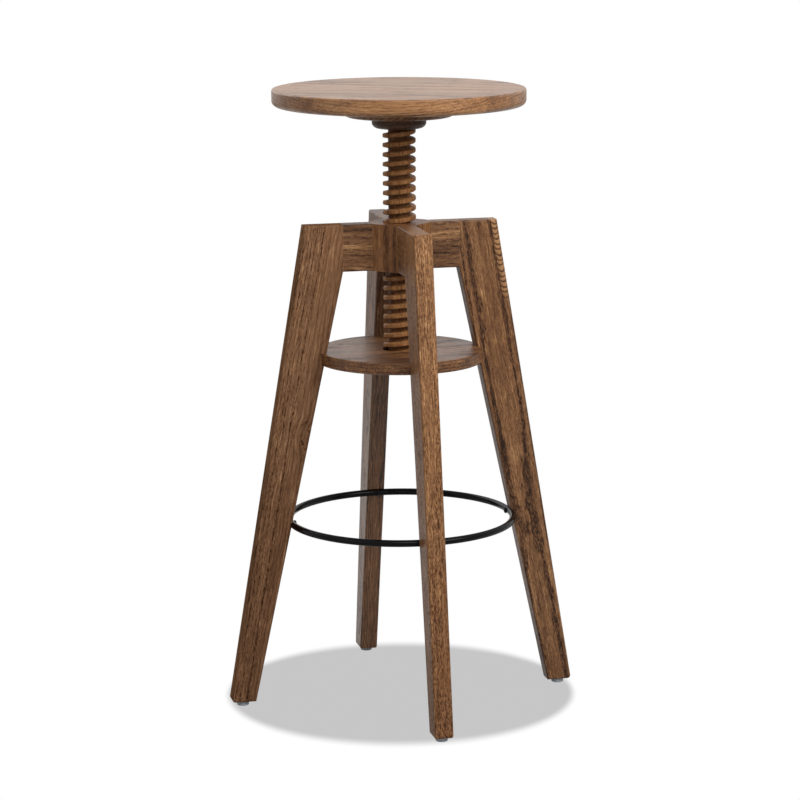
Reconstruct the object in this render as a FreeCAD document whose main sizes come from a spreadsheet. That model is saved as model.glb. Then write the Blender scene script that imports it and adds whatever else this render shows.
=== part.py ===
# Adjustable swivel stool. A round seat stands on a wooden screw that runs in a threaded hub. Four arms
# join the hub to four splayed legs, a round shelf guides the screw lower down, and a steel ring inside
# the legs takes the feet. Millimetres, +Z up. The origin is on the floor, on the screw's axis, with the
# legs along X and Y and the seat at its highest setting.
import FreeCAD, Part
import math
import os
import Sketcher

doc = FreeCAD.newDocument("SwivelStool")

# Driving sizes: alias, value, meaning.
sizes = [
    ("seatHeight", 812, "top of the seat above the floor"),
    ("seatDiameter", 330, "seat board across"),
    ("seatThickness", 22, "seat board"),
    ("seatTopEdge", 2.5, "radius of the seat's upper edge"),
    ("seatLowerEdge", 8, "radius of the seat's lower edge"),
    ("plateDiameter", 145, "stiffening board under the seat, across"),
    ("plateThickness", 14.5, "stiffening board"),
    ("plateEdge", 7, "radius of its lower edge"),
    ("plateScrewCircle", 104, "circle of the four screws into the seat"),
    ("plateScrewShank", 4.5, "their shank"),
    ("plateScrewHead", 9, "their countersunk head"),
    ("plateScrewLength", 28, "their length"),
    ("collarDiameter", 71, "collar round the top of the screw"),
    ("collarDepth", 15, "collar"),
    ("collarEdge", 8, "radius of the collar's lower edge"),
    ("threadOuter", 43.2, "wooden screw over its crests"),
    ("threadCore", 29, "wooden screw at the floor of its groove"),
    ("threadPitch", 12.5, "rise of the right-hand thread in one turn"),
    ("threadFloor", 4.4, "width of the groove's floor"),
    ("threadCrest", 5.6, "width of the crest before its corners are bevelled"),
    ("threadBevel", 1, "bevel of the crest's corners"),
    ("threadDatum", 432.5, "height of a crest over the +X side"),
    ("threadPlay", 0.4, "clearance between the screw and the hub all round"),
    ("tenonDiameter", 28, "plain top of the screw, in the collar and the board"),
    ("tenonDrop", 8, "depth of the recess over the tenon for the lag screw's head"),
    ("lagShank", 8, "lag screw from the board down into the tenon"),
    ("lagLength", 70, "lag screw under its head"),
    ("lagHead", 13, "lag screw's head across flats"),
    ("lagHeadDepth", 5.3, "lag screw's head"),
    ("lagWasher", 30, "washer under the lag screw's head, across"),
    ("lagRecess", 33, "recess for that washer, across"),
    ("washerThickness", 2, "lag washer and stop washer"),
    ("stopWasher", 60, "washer under the screw's lower end, across"),
    ("stopScrewShank", 6, "screw that holds the stop washer"),
    ("stopScrewLength", 40, "its length in the wood"),
    ("stopScrewHead", 14, "its head across"),
    ("stopScrewHeadDepth", 3.5, "its head"),
    ("stopPlay", 0.08, "radial clearance of the stop washer on its screw"),
    ("stopGap", 3, "stop washer below the shelf at the highest setting"),
    ("hubTop", 638, "top of the hub and the arms above the floor"),
    ("armDepth", 61.5, "height of the hub and the arms"),
    ("boardThickness", 24.3, "thickness of the arms and the legs"),
    ("hubFlat", 39, "hub's flats for the arms, from the axis"),
    ("armReach", 78, "glue joint of arm and leg, from the axis"),
    ("legTopReach", 128.5, "outer corner at the top of a leg, from the axis"),
    ("footReach", 233.5, "outer edge at the bottom of a leg, from the axis"),
    ("footInner", 201, "inner edge at the bottom of a leg, from the axis"),
    ("edgeRound", 2.5, "rounding of the legs' and arms' edges"),
    ("footRound", 4, "rounding of the foot's outer lower edge"),
    ("hubDowel", 8, "dowels from the hub to the arms"),
    ("hubDowelLength", 30, "their length"),
    ("hubDowelInHub", 13, "the part of them that is in the hub"),
    ("legDowel", 10, "dowels from the arms to the legs"),
    ("legDowelLength", 44, "their length"),
    ("legDowelInArm", 20, "the part of them that is in the arm"),
    ("dowelSpread", 30, "height between the two dowels of a joint"),
    ("shelfTop", 470, "top of the shelf above the floor"),
    ("shelfThickness", 15.5, "shelf"),
    ("shelfEdge", 2, "rounding of the shelf's edges"),
    ("shelfLetIn", 6.4, "depth of the shelf's rim in the legs"),
    ("guidePlay", 1.5, "radial clearance of the wooden screw in the shelf"),
    ("shelfDowel", 6, "dowels from the shelf to the legs"),
    ("shelfDowelLength", 32, "their length"),
    ("ringHeight", 243, "middle of the foot ring above the floor"),
    ("ringBar", 9, "foot ring's round bar"),
    ("ringLetIn", 3, "depth of the bar in the legs"),
    ("ringScrewShank", 4, "screws through the foot ring"),
    ("ringScrewLength", 36, "their length"),
    ("ringScrewHead", 8, "their head across"),
    ("ringScrewHeadDepth", 2.8, "their head"),
    ("ringScrewSeat", 0.7, "flat seat of the head, cut into the bar"),
    ("glideDiameter", 16, "nylon glide"),
    ("glideDepth", 6, "nylon glide"),
    ("glideEdge", 1.2, "rounding of the glide's lower edge"),
    ("glideRecess", 7, "recess for the nail's head, across"),
    ("nailShank", 2.6, "nail of a glide"),
    ("nailHead", 6, "its head across"),
    ("nailHeadDepth", 1.2, "its head"),
    ("nailLength", 20, "its length under the head"),
    ("nailSink", 0.6, "its head above the glide's lower face"),
]
sheet = doc.addObject("Spreadsheet::Sheet", "Sizes")
for row, (alias, number, meaning) in enumerate(sizes, start=1):
    sheet.set(f"A{row}", meaning)
    sheet.set(f"B{row}", str(number))
    sheet.setAlias(f"B{row}", alias)
doc.recompute()

# Heights and radii that follow from the driving sizes, as expressions.
boardTop = "(Sizes.seatHeight - Sizes.seatThickness)"
boardBottom = f"({boardTop} - Sizes.plateThickness)"
shoulder = f"({boardBottom} - Sizes.collarDepth)"
tenonTop = f"({boardTop} - Sizes.tenonDrop)"
shelfBottom = "(Sizes.shelfTop - Sizes.shelfThickness)"
spindleBottom = f"({shelfBottom} - Sizes.stopGap)"
hubBottom = "(Sizes.hubTop - Sizes.armDepth)"
hubMiddle = "(Sizes.hubTop - Sizes.armDepth / 2)"
legSlope = f"((Sizes.footInner - Sizes.armReach) / ({hubBottom} - Sizes.glideDepth))"
coreRadius = "(Sizes.threadCore / 2)"
outerRadius = "(Sizes.threadOuter / 2)"
nailCircle = "((Sizes.footInner + Sizes.footReach) / 2)"
over = 1.5  # how far a cutting shape runs past the surface that it cuts


def innerFace(height):
    return f"(Sizes.armReach + ({hubBottom} - {height}) * {legSlope})"


shelfMiddle = "(Sizes.shelfTop - Sizes.shelfThickness / 2)"
shelfRadius = f"({innerFace(shelfMiddle)} + Sizes.shelfLetIn)"
ringRadius = f"({innerFace('Sizes.ringHeight')} - Sizes.ringBar / 2 + Sizes.ringLetIn)"

sides = {"right": 0, "back": 90, "left": 180, "front": 270}  # the legs' directions, in degrees from +X
nodes = {}


def current(text):
    return float(sheet.evalExpression(text))


def keep(thing, name):
    thing.Label = name
    nodes[name] = thing
    return thing


def originPart(body, role):
    return next(part for part in body.Origin.OriginFeatures if part.Role == role)


def newBody(name, angle=0, height=None):
    body = doc.addObject("PartDesign::Body", name)
    body.Placement = FreeCAD.Placement(FreeCAD.Vector(), FreeCAD.Rotation(FreeCAD.Vector(0, 0, 1), angle))
    if height:
        body.setExpression("Placement.Base.z", height)
    return body


def newSketch(body, role, name, lift=None):
    sketch = body.newObject("Sketcher::SketchObject", name)
    sketch.AttachmentSupport = [(originPart(body, role), "")]
    sketch.MapMode = "FlatFace"
    if lift:
        sketch.setExpression("AttachmentOffset.Base.z", lift)
    return sketch


def bindConstraint(sketch, constraint, text):
    index = sketch.addConstraint(constraint)
    sketch.setExpression(f"Constraints[{index}]", text)


# A closed outline of straight lines through corners given as pairs of expressions.
def drawOutline(sketch, corners):
    spots = [FreeCAD.Vector(current(across), current(up), 0) for across, up in corners]
    count = len(spots)
    for index in range(count):
        sketch.addGeometry(Part.LineSegment(spots[index], spots[(index + 1) % count]), False)
    for index in range(count):
        sketch.addConstraint(Sketcher.Constraint("Coincident", index, 2, (index + 1) % count, 1))
    for index, (across, up) in enumerate(corners):
        for kind, text in (("DistanceX", across), ("DistanceY", up)):
            if current(text) == 0:
                level = "Vertical" if kind == "DistanceX" else "Horizontal"
                sketch.addConstraint(Sketcher.Constraint(level, -1, 1, index, 1))
            else:
                bindConstraint(sketch, Sketcher.Constraint(kind, -1, 1, index, 1, current(text)), text)


def drawCircle(sketch, radius):
    index = sketch.addGeometry(Part.Circle(FreeCAD.Vector(), FreeCAD.Vector(0, 0, 1), current(radius)), False)
    sketch.addConstraint(Sketcher.Constraint("Coincident", index, 3, -1, 1))
    bindConstraint(sketch, Sketcher.Constraint("Radius", index, current(radius)), radius)


# A rectangle with its middle on the sketch's origin.
def drawSquare(sketch, width):
    half = current(width) / 2
    turns = [(-half, -half), (half, -half), (half, half), (-half, half)]
    spots = [FreeCAD.Vector(across, up, 0) for across, up in turns]
    for index in range(4):
        sketch.addGeometry(Part.LineSegment(spots[index], spots[(index + 1) % 4]), False)
    for index in range(4):
        sketch.addConstraint(Sketcher.Constraint("Coincident", index, 2, (index + 1) % 4, 1))
        level = "Horizontal" if index % 2 == 0 else "Vertical"
        sketch.addConstraint(Sketcher.Constraint(level, index))
    sketch.addConstraint(Sketcher.Constraint("Symmetric", 0, 1, 2, 1, -1, 1))
    bindConstraint(sketch, Sketcher.Constraint("DistanceX", 0, 1, 0, 2, 2 * half), width)
    bindConstraint(sketch, Sketcher.Constraint("DistanceY", 1, 1, 1, 2, 2 * half), width)


def addPad(body, sketch, name, length, bothWays=False):
    pad = body.newObject("PartDesign::Pad", name)
    pad.Profile = sketch
    pad.setExpression("Length", length)
    if bothWays:
        pad.SideType = "Symmetric"
    doc.recompute()
    return pad


def roundPad(body, name, radii, length, lift=None):
    sketch = newSketch(body, "XY_Plane", name + "Outline", lift)
    for radius in radii:
        drawCircle(sketch, radius)
    return addPad(body, sketch, name, length)


def turnProfile(body, kind, corners, name, axis):
    sketch = newSketch(body, "XZ_Plane", name + "Outline")
    drawOutline(sketch, corners)
    feature = body.newObject("PartDesign::" + kind, name)
    feature.Profile = sketch
    feature.ReferenceAxis = (sketch, [axis])
    feature.Angle = 360
    doc.recompute()
    return feature


def dressEdges(body, kind, prop, size, test, name):
    base = body.Tip
    picked = [f"Edge{index}" for index, edge in enumerate(base.Shape.Edges, start=1) if test(edge)]
    if not picked:
        raise ValueError(f"no edges found for {name}")
    feature = body.newObject("PartDesign::" + kind, name)
    feature.Base = (base, picked)
    feature.setExpression(prop, size)
    doc.recompute()
    return feature


# True for a circular edge of this radius at this height in its body.
def roundAt(radius, height):
    def test(edge):
        box = edge.BoundBox
        flat = box.ZLength < 1e-4 and abs(box.ZMin - current(height)) < 1e-3
        return flat and edge.Closed and abs(box.XMax - current(radius)) < 1e-3
    return test


def cutAway(base, tool, name, label=None):
    result = doc.addObject("Part::Cut", name)
    result.Base = base
    result.Tool = tool
    doc.recompute()
    return keep(result, label) if label else result


def gather(things, name, label=None):
    result = doc.addObject("Part::Compound", name)
    result.Links = things
    doc.recompute()
    return keep(result, label) if label else result


# A round disc with its lower face at the body's origin, rounded edges and an optional hole.
def roundBoard(name, radius, bottom, thickness, upperEdge, lowerEdge, hole=None):
    body = newBody(name, height=bottom)
    roundPad(body, name + "Pad", [radius] + ([hole] if hole else []), thickness)
    if upperEdge:
        dressEdges(body, "Fillet", "Radius", upperEdge, roundAt(radius, thickness), name + "Upper")
    if lowerEdge:
        dressEdges(body, "Fillet", "Radius", lowerEdge, roundAt(radius, "0"), name + "Lower")
    return body


# A cylinder along a leg's direction, starting at a distance from the axis.
def radialRod(name, angle, radius, length, start, height):
    across = FreeCAD.Vector(round(math.cos(math.radians(angle))), round(math.sin(math.radians(angle))), 0)
    rod = doc.addObject("Part::Cylinder", name)
    rod.setExpression("Radius", radius)
    rod.setExpression("Height", length)
    rod.Placement = FreeCAD.Placement(FreeCAD.Vector(), FreeCAD.Rotation(FreeCAD.Vector(0, 0, 1), across))
    rod.setExpression("Placement.Base.x", f"({start}) * {across.x}")
    rod.setExpression("Placement.Base.y", f"({start}) * {across.y}")
    rod.setExpression("Placement.Base.z", height)
    return rod


# The thread is one helical cut. In the screw it takes out the groove, in the hub it makes room for the crest.
def cutThread(body, halfWidths, radii, middle, top, name):
    sketch = newSketch(body, "XZ_Plane", name + "Outline")
    lower = [(radius, f"({middle} - {half})") for radius, half in zip(radii, halfWidths)]
    upper = [(radius, f"({middle} + {half})") for radius, half in zip(radii, halfWidths)]
    drawOutline(sketch, lower + upper[::-1])
    helix = body.newObject("PartDesign::SubtractiveHelix", name)
    helix.Profile = sketch
    helix.ReferenceAxis = (originPart(body, "Z_Axis"), [""])
    helix.Mode = 0
    helix.setExpression("Pitch", "Sizes.threadPitch")
    helix.setExpression("Height", f"{top} + 2 * Sizes.threadPitch - {middle}")
    helix.LeftHanded = False
    doc.recompute()
    return helix


# Half the groove's width at its floor, below the crest's bevel, and at the crest's top.
floorHalf = "Sizes.threadFloor / 2"
mouthHalf = "(Sizes.threadPitch / 2 - Sizes.threadCrest / 2)"
bevelRadius = f"({outerRadius} - Sizes.threadBevel)"
bevelOver = 0.5  # the bevel's cut runs on past the crest by this much, at 45 degrees


def makeSpindle():
    body = newBody("Spindle")
    roundPad(body, "SpindleBlank", [outerRadius], f"{shoulder} - {spindleBottom}", spindleBottom)
    halves = [floorHalf, mouthHalf, f"({mouthHalf} + Sizes.threadBevel + {bevelOver})"]
    radii = [coreRadius, bevelRadius, f"({outerRadius} + {bevelOver})"]
    middle = "(Sizes.threadDatum + Sizes.threadPitch / 2)"
    cutThread(body, halves, radii, middle, shoulder, "SpindleGroove")
    roundPad(body, "SpindleTenon", ["Sizes.tenonDiameter / 2"], f"{tenonTop} - {shoulder}", shoulder)
    return body


def makeHub():
    body = newBody("Hub")
    sketch = newSketch(body, "XY_Plane", "HubOutline", hubBottom)
    drawSquare(sketch, "2 * Sizes.hubFlat")
    addPad(body, sketch, "HubBlank", "Sizes.armDepth")

    def upright(edge):
        return edge.BoundBox.ZLength > 1

    cornerCut = "Sizes.hubFlat - Sizes.boardThickness / 2"
    dressEdges(body, "Chamfer", "Size", cornerCut, upright, "HubCorners")
    bore = newSketch(body, "XY_Plane", "HubBoreOutline", hubBottom)
    drawCircle(bore, f"{coreRadius} + Sizes.threadPlay")
    pocket = body.newObject("PartDesign::Pocket", "HubBore")
    pocket.Profile = bore
    pocket.Type = 1  # through all
    pocket.Reversed = True
    doc.recompute()
    floorRoom = f"(Sizes.threadPitch / 2 - {floorHalf} + Sizes.threadPlay)"
    bevelRoom = "(Sizes.threadCrest / 2 + Sizes.threadPlay)"
    crestRoom = "(Sizes.threadCrest / 2 - Sizes.threadBevel + Sizes.threadPlay)"
    radii = [coreRadius, f"({bevelRadius} + Sizes.threadPlay)", f"({outerRadius} + Sizes.threadPlay)"]
    halves = [floorRoom, bevelRoom, crestRoom]
    cutThread(body, halves, radii, "Sizes.threadDatum", "Sizes.hubTop", "HubThread")
    return body


# An arm lies between the hub's flat and the glue joint, with its four long edges rounded.
def makeArm(side, angle):
    body = newBody("Arm" + side, angle)
    sketch = newSketch(body, "XZ_Plane", "ArmOutline" + side)
    corners = [("Sizes.hubFlat", hubBottom), ("Sizes.armReach", hubBottom),
               ("Sizes.armReach", "Sizes.hubTop"), ("Sizes.hubFlat", "Sizes.hubTop")]
    drawOutline(sketch, corners)
    addPad(body, sketch, "ArmBlank" + side, "Sizes.boardThickness", bothWays=True)

    def lengthwise(edge):
        box = edge.BoundBox
        return box.XLength > 1 and box.ZLength < 1e-4 and box.YLength < 1e-4

    dressEdges(body, "Fillet", "Radius", "Sizes.edgeRound", lengthwise, "ArmEdges" + side)
    return body


# A leg is cut from a board: upright at the glue joint, level at the foot, and tapered between.
def makeLeg(side, angle):
    body = newBody("Leg" + side, angle)
    sketch = newSketch(body, "XZ_Plane", "LegOutline" + side)
    corners = [("Sizes.armReach", hubBottom), ("Sizes.armReach", "Sizes.hubTop"),
               ("Sizes.legTopReach", "Sizes.hubTop"), ("Sizes.footReach", "Sizes.glideDepth"),
               ("Sizes.footInner", "Sizes.glideDepth")]
    drawOutline(sketch, corners)
    addPad(body, sketch, "LegBlank" + side, "Sizes.boardThickness", bothWays=True)

    def footCorner(edge):
        box = edge.BoundBox
        return box.YLength > 1 and abs(box.XMin - current("Sizes.footReach")) < 1e-3

    def outlineEdge(edge):
        box = edge.BoundBox
        glued = abs(box.XMax - current("Sizes.armReach")) < 1e-3
        return box.YLength < 1e-4 and not glued

    dressEdges(body, "Fillet", "Radius", "Sizes.footRound", footCorner, "FootCorner" + side)
    dressEdges(body, "Fillet", "Radius", "Sizes.edgeRound", outlineEdge, "LegEdges" + side)
    housing = [("0", shelfBottom), (shelfRadius, shelfBottom), (shelfRadius, "Sizes.shelfTop"),
               ("0", "Sizes.shelfTop")]
    turnProfile(body, "Groove", housing, "ShelfHousing" + side, "V_Axis")
    return body


# A screw or nail is turned about its own axis, from half its outline. Along "H_Axis" it lies in a leg's
# direction, with its head towards the stool's axis, and along "V_Axis" it stands with its head down.
def turnedPin(name, angle, reach, height, corners, axis):
    body = newBody(name, angle, height)
    body.setExpression("Placement.Base.x", f"({reach}) * {round(math.cos(math.radians(angle)))}")
    body.setExpression("Placement.Base.y", f"({reach}) * {round(math.sin(math.radians(angle)))}")
    turnProfile(body, "Revolution", corners, name + "Turned", axis)
    return body


domeShares = [(0, 0.4), (0.15, 0.7), (0.5, 0.95), (1, 1)]  # a domed head, in shares of its depth and radius


# Half the outline of a screw with a domed head, as pairs along and across, from the head's top to the tip.
def domedOutline(head, depth, shank, length):
    slim = f"{shank} / 2"
    tip = f"({depth} + {length})"
    dome = [(f"{depth} * {along}", f"{head} / 2 * {across}") for along, across in domeShares]
    return [("0", "0")] + dome + [(depth, slim), (f"{tip} - {shank}", slim), (tip, "0")]


def makeRingScrews():
    depth = "Sizes.ringScrewHeadDepth"
    corners = domedOutline("Sizes.ringScrewHead", depth, "Sizes.ringScrewShank", "Sizes.ringScrewLength")
    reach = f"{ringRadius} - Sizes.ringBar / 2 + Sizes.ringScrewSeat - {depth}"
    screws = [turnedPin("RingScrew" + side, angle, reach, "Sizes.ringHeight", corners, "H_Axis")
              for side, angle in sides.items()]
    return gather(screws, "RingScrews", "ring_screws")


def makePlateScrews():
    wide = "Sizes.plateScrewHead / 2"
    slim = "Sizes.plateScrewShank / 2"
    tip = "Sizes.plateScrewLength"
    corners = [("0", "0"), (wide, "0"), (slim, f"{wide} - {slim}"), (slim, f"{tip} - Sizes.plateScrewShank"),
               ("0", tip)]
    reach = "Sizes.plateScrewCircle / 2"
    screws = [turnedPin("PlateScrew" + side, angle, reach, boardBottom, corners, "V_Axis")
              for side, angle in sides.items()]
    return gather(screws, "PlateScrews", "seat_plate_screws")


def makeNails():
    wide = "Sizes.nailHead / 2"
    slim = "Sizes.nailShank / 2"
    head = "Sizes.nailHeadDepth"
    tip = f"{head} + Sizes.nailLength"
    corners = [("0", "0"), (wide, "0"), (wide, head), (slim, head), (slim, f"{tip} - 2 * Sizes.nailShank"),
               ("0", tip)]
    nails = [turnedPin("Nail" + side, angle, nailCircle, "Sizes.nailSink", corners, "V_Axis")
             for side, angle in sides.items()]
    return gather(nails, "Nails", "glide_nails")


# The lag screw hangs from its washer on the tenon, and its head stays below the seat board.
def makeLag():
    body = newBody("Lag", height=f"{tenonTop} + Sizes.washerThickness")
    sketch = newSketch(body, "XY_Plane", "LagHeadOutline")
    radius = "Sizes.lagHead / 2 / cos(30)"
    size = current("Sizes.lagHead") / 2 / math.cos(math.radians(30))
    for index in range(6):
        ends = [math.radians(60 * turn) for turn in (index, index + 1)]
        spots = [FreeCAD.Vector(size * math.cos(end), size * math.sin(end), 0) for end in ends]
        sketch.addGeometry(Part.LineSegment(*spots), False)
    ringIndex = sketch.addGeometry(Part.Circle(FreeCAD.Vector(), FreeCAD.Vector(0, 0, 1), size), True)
    sketch.addConstraint(Sketcher.Constraint("Coincident", ringIndex, 3, -1, 1))
    bindConstraint(sketch, Sketcher.Constraint("Radius", ringIndex, size), radius)
    for index in range(6):
        sketch.addConstraint(Sketcher.Constraint("Coincident", index, 2, (index + 1) % 6, 1))
        sketch.addConstraint(Sketcher.Constraint("PointOnObject", index, 1, ringIndex))
        if index:
            sketch.addConstraint(Sketcher.Constraint("Equal", 0, index))
    sketch.addConstraint(Sketcher.Constraint("PointOnObject", 0, 1, -1))
    addPad(body, sketch, "LagHead", "Sizes.lagHeadDepth")
    shank = roundPad(body, "LagShank", ["Sizes.lagShank / 2"], "Sizes.lagLength")
    shank.Reversed = True
    doc.recompute()
    return keep(body, "spindle_lag_screw")


# The stop washer lies between the screw's lower end and this screw's head.
def makeStopScrew():
    depth = "Sizes.stopScrewHeadDepth"
    length = "Sizes.washerThickness + Sizes.stopScrewLength"
    outline = domedOutline("Sizes.stopScrewHead", depth, "Sizes.stopScrewShank", length)
    corners = [(across, along) for along, across in outline]
    height = f"{spindleBottom} - Sizes.washerThickness - {depth} - Sizes.stopPlay"
    return keep(turnedPin("StopScrew", 0, "0", height, corners, "V_Axis"), "stop_screw")


def makeDowels(label, radius, length, start):
    rods = []
    for side, angle in sides.items():
        for sign in (-1, 1):
            height = f"{hubMiddle} + {sign} * Sizes.dowelSpread / 2"
            rods.append(radialRod(f"{label}{side}{len(rods)}", angle, radius, length, start, height))
    return gather(rods, label + "Group", label)


def makeGlide(side, angle, nails):
    body = newBody("Glide" + side, angle)
    body.setExpression("Placement.Base.x", f"{nailCircle} * {round(math.cos(math.radians(angle)))}")
    body.setExpression("Placement.Base.y", f"{nailCircle} * {round(math.sin(math.radians(angle)))}")
    roundPad(body, "GlidePad" + side, ["Sizes.glideDiameter / 2"], "Sizes.glideDepth")
    edge = roundAt("Sizes.glideDiameter / 2", "0")
    dressEdges(body, "Fillet", "Radius", "Sizes.glideEdge", edge, "GlideEdge" + side)
    recess = "Sizes.nailSink + Sizes.nailHeadDepth"
    corners = [("0", "0"), ("Sizes.glideRecess / 2", "0"), ("Sizes.glideRecess / 2", recess), ("0", recess)]
    turnProfile(body, "Groove", corners, "GlideRecess" + side, "V_Axis")
    return cutAway(body, nails, "GlideCut" + side, "glide_" + side)


# Seat, board, collar and screw, which turn and rise together.
plateScrews = makePlateScrews()
lag = makeLag()
stopScrew = makeStopScrew()
seatBody = roundBoard("Seat", "Sizes.seatDiameter / 2", boardTop, "Sizes.seatThickness",
                      "Sizes.seatTopEdge", "Sizes.seatLowerEdge")
cutAway(seatBody, plateScrews, "SeatCut", "seat_board")
plateBody = roundBoard("Plate", "Sizes.plateDiameter / 2", boardBottom, "Sizes.plateThickness",
                       None, "Sizes.plateEdge", "Sizes.tenonDiameter / 2")
recessBottom = "(Sizes.plateThickness - Sizes.tenonDrop)"
turnProfile(plateBody, "Groove", [("0", recessBottom), ("Sizes.lagRecess / 2", recessBottom),
                                  ("Sizes.lagRecess / 2", f"Sizes.plateThickness + {over}"),
                                  ("0", f"Sizes.plateThickness + {over}")], "PlateRecess", "V_Axis")
cutAway(plateBody, plateScrews, "PlateCut", "seat_plate")
collarBody = roundBoard("Collar", "Sizes.collarDiameter / 2", shoulder, "Sizes.collarDepth",
                        None, "Sizes.collarEdge", "Sizes.tenonDiameter / 2")
keep(collarBody, "spindle_collar")
keep(roundBoard("LagWasher", "Sizes.lagWasher / 2", tenonTop, "Sizes.washerThickness",
                None, None, "Sizes.lagShank / 2"), "lag_washer")
cutAway(makeSpindle(), gather([lag, stopScrew], "SpindleScrews"), "SpindleCut", "spindle")
washerBottom = f"{spindleBottom} - Sizes.washerThickness"
washerHole = "Sizes.stopScrewShank / 2 + Sizes.stopPlay"
keep(roundBoard("StopWasher", "Sizes.stopWasher / 2", washerBottom, "Sizes.washerThickness",
                None, None, washerHole), "stop_washer")

# Hub, arms and legs.
hubDowels = makeDowels("hub_dowels", "Sizes.hubDowel / 2", "Sizes.hubDowelLength",
                       "Sizes.hubFlat - Sizes.hubDowelInHub")
legDowels = makeDowels("leg_dowels", "Sizes.legDowel / 2", "Sizes.legDowelLength",
                       "Sizes.armReach - Sizes.legDowelInArm")
shelfRods = [radialRod("ShelfDowel" + side, angle, "Sizes.shelfDowel / 2", "Sizes.shelfDowelLength",
                       f"{shelfRadius} - Sizes.shelfDowelLength / 2", shelfMiddle)
             for side, angle in sides.items()]
shelfDowels = gather(shelfRods, "ShelfDowels", "shelf_dowels")
ringScrews = makeRingScrews()
nails = makeNails()
cutAway(makeHub(), hubDowels, "HubCut", "hub_block")
ring = doc.addObject("Part::Torus", "Ring")
ring.setExpression("Radius1", ringRadius)
ring.setExpression("Radius2", "Sizes.ringBar / 2")
ring.setExpression("Placement.Base.z", "Sizes.ringHeight")
cutAway(ring, ringScrews, "RingCut", "foot_ring")
armTools = gather([hubDowels, legDowels], "ArmTools")
legTools = gather([legDowels, shelfDowels, ringScrews, nails], "LegTools")
for side, angle in sides.items():
    cutAway(makeArm(side, angle), armTools, "ArmCut" + side, "arm_" + side)
    notched = cutAway(makeLeg(side, angle), ring, "LegNotch" + side)
    cutAway(notched, legTools, "LegCut" + side, "leg_" + side)
    makeGlide(side, angle, nails)

# The shelf, let into the legs.
shelfBody = roundBoard("Shelf", shelfRadius, shelfBottom, "Sizes.shelfThickness", "Sizes.shelfEdge",
                       "Sizes.shelfEdge", f"{outerRadius} + Sizes.guidePlay")
cutAway(shelfBody, shelfDowels, "ShelfCut", "shelf_disc")

doc.recompute()
for thing in doc.Objects:
    if "Invalid" in thing.State or "Error" in thing.State:
        raise ValueError(f"{thing.Name} failed: {thing.State}")
for name, thing in nodes.items():
    if thing.Shape.isNull() or not thing.Shape.isValid() or not thing.Shape.Solids:
        raise ValueError(f"{name} has no valid shape")

os.makedirs("parts", exist_ok=True)
for name, thing in nodes.items():
    thing.Shape.exportStep(f"parts/{name}.step")
    print(f"{name}: {len(thing.Shape.Solids)} solids, {thing.Shape.Volume / 1000:.2f} cm3")
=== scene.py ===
import math

import bpy
from mathutils import Matrix, Vector


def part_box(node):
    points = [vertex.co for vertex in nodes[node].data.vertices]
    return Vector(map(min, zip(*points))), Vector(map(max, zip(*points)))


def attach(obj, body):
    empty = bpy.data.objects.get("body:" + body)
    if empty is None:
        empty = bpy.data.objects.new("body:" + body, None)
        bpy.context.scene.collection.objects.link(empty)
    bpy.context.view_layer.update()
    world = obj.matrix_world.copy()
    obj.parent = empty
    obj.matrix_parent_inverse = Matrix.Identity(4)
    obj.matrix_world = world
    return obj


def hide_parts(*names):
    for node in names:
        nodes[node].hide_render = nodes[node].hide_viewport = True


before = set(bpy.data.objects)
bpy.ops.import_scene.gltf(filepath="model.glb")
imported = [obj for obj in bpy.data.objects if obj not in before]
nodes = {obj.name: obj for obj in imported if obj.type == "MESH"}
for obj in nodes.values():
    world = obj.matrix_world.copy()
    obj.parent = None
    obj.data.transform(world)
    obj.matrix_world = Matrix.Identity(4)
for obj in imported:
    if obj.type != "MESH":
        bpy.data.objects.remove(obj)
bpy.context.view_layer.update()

outward = {"right": (1, 0), "back": (0, 1), "left": (-1, 0), "front": (0, -1)}  # from the axis to each leg
print("frame loaded:", len(nodes), "nodes")


# helpers for shader trees: where a link starts or ends is a pair, (node, socket)

def addNode(tree, kind, **values):
    node = tree.nodes.new(kind)
    for name, value in values.items():
        setattr(node, name, value)
    return node


def join(tree, source, target):
    tree.links.new(source[0].outputs[source[1]], target[0].inputs[target[1]])


def calc(tree, operation, first, second=None, third=None, clamp=False):
    node = addNode(tree, "ShaderNodeMath", operation=operation, use_clamp=clamp)
    for index, value in enumerate((first, second, third)):
        if isinstance(value, tuple):
            join(tree, value, (node, index))
        elif value is not None:
            node.inputs[index].default_value = value
    return (node, 0)


def vectorCalc(tree, operation, first, second=None):  # each value is a pair or three numbers
    node = addNode(tree, "ShaderNodeVectorMath", operation=operation)
    secondSocket = "Scale" if operation == "SCALE" else 1
    for socket, value in ((0, first), (secondSocket, second)):
        if value is None:
            continue
        if len(value) == 2:
            join(tree, value, (node, socket))
        else:
            node.inputs[socket].default_value = value
    return (node, "Value" if operation in ("LENGTH", "DOT_PRODUCT") else "Vector")


def fromAxis(tree, vector):  # how far a point stands from the Z axis
    return vectorCalc(tree, "LENGTH", vectorCalc(tree, "MULTIPLY", vector, (1, 1, 0)))


def objectPlace(tree):  # a point's place in its object's own coordinates
    return (addNode(tree, "ShaderNodeTexCoord"), "Object")


def stretchedNoise(tree, vector, scale, detail, rough=0.55):  # scale: three numbers, or a pair
    noise = addNode(tree, "ShaderNodeTexNoise", noise_dimensions="3D")
    noise.inputs["Scale"].default_value = 1.0
    noise.inputs["Detail"].default_value = detail
    noise.inputs["Roughness"].default_value = rough
    join(tree, vectorCalc(tree, "MULTIPLY", vector, scale), (noise, "Vector"))
    return (noise, "Fac")


def spread(tree, noise, amount, middle=0.0):  # noise from 0 to 1 becomes a value round the middle
    return calc(tree, "MULTIPLY_ADD", noise, amount, middle - amount / 2)


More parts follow.
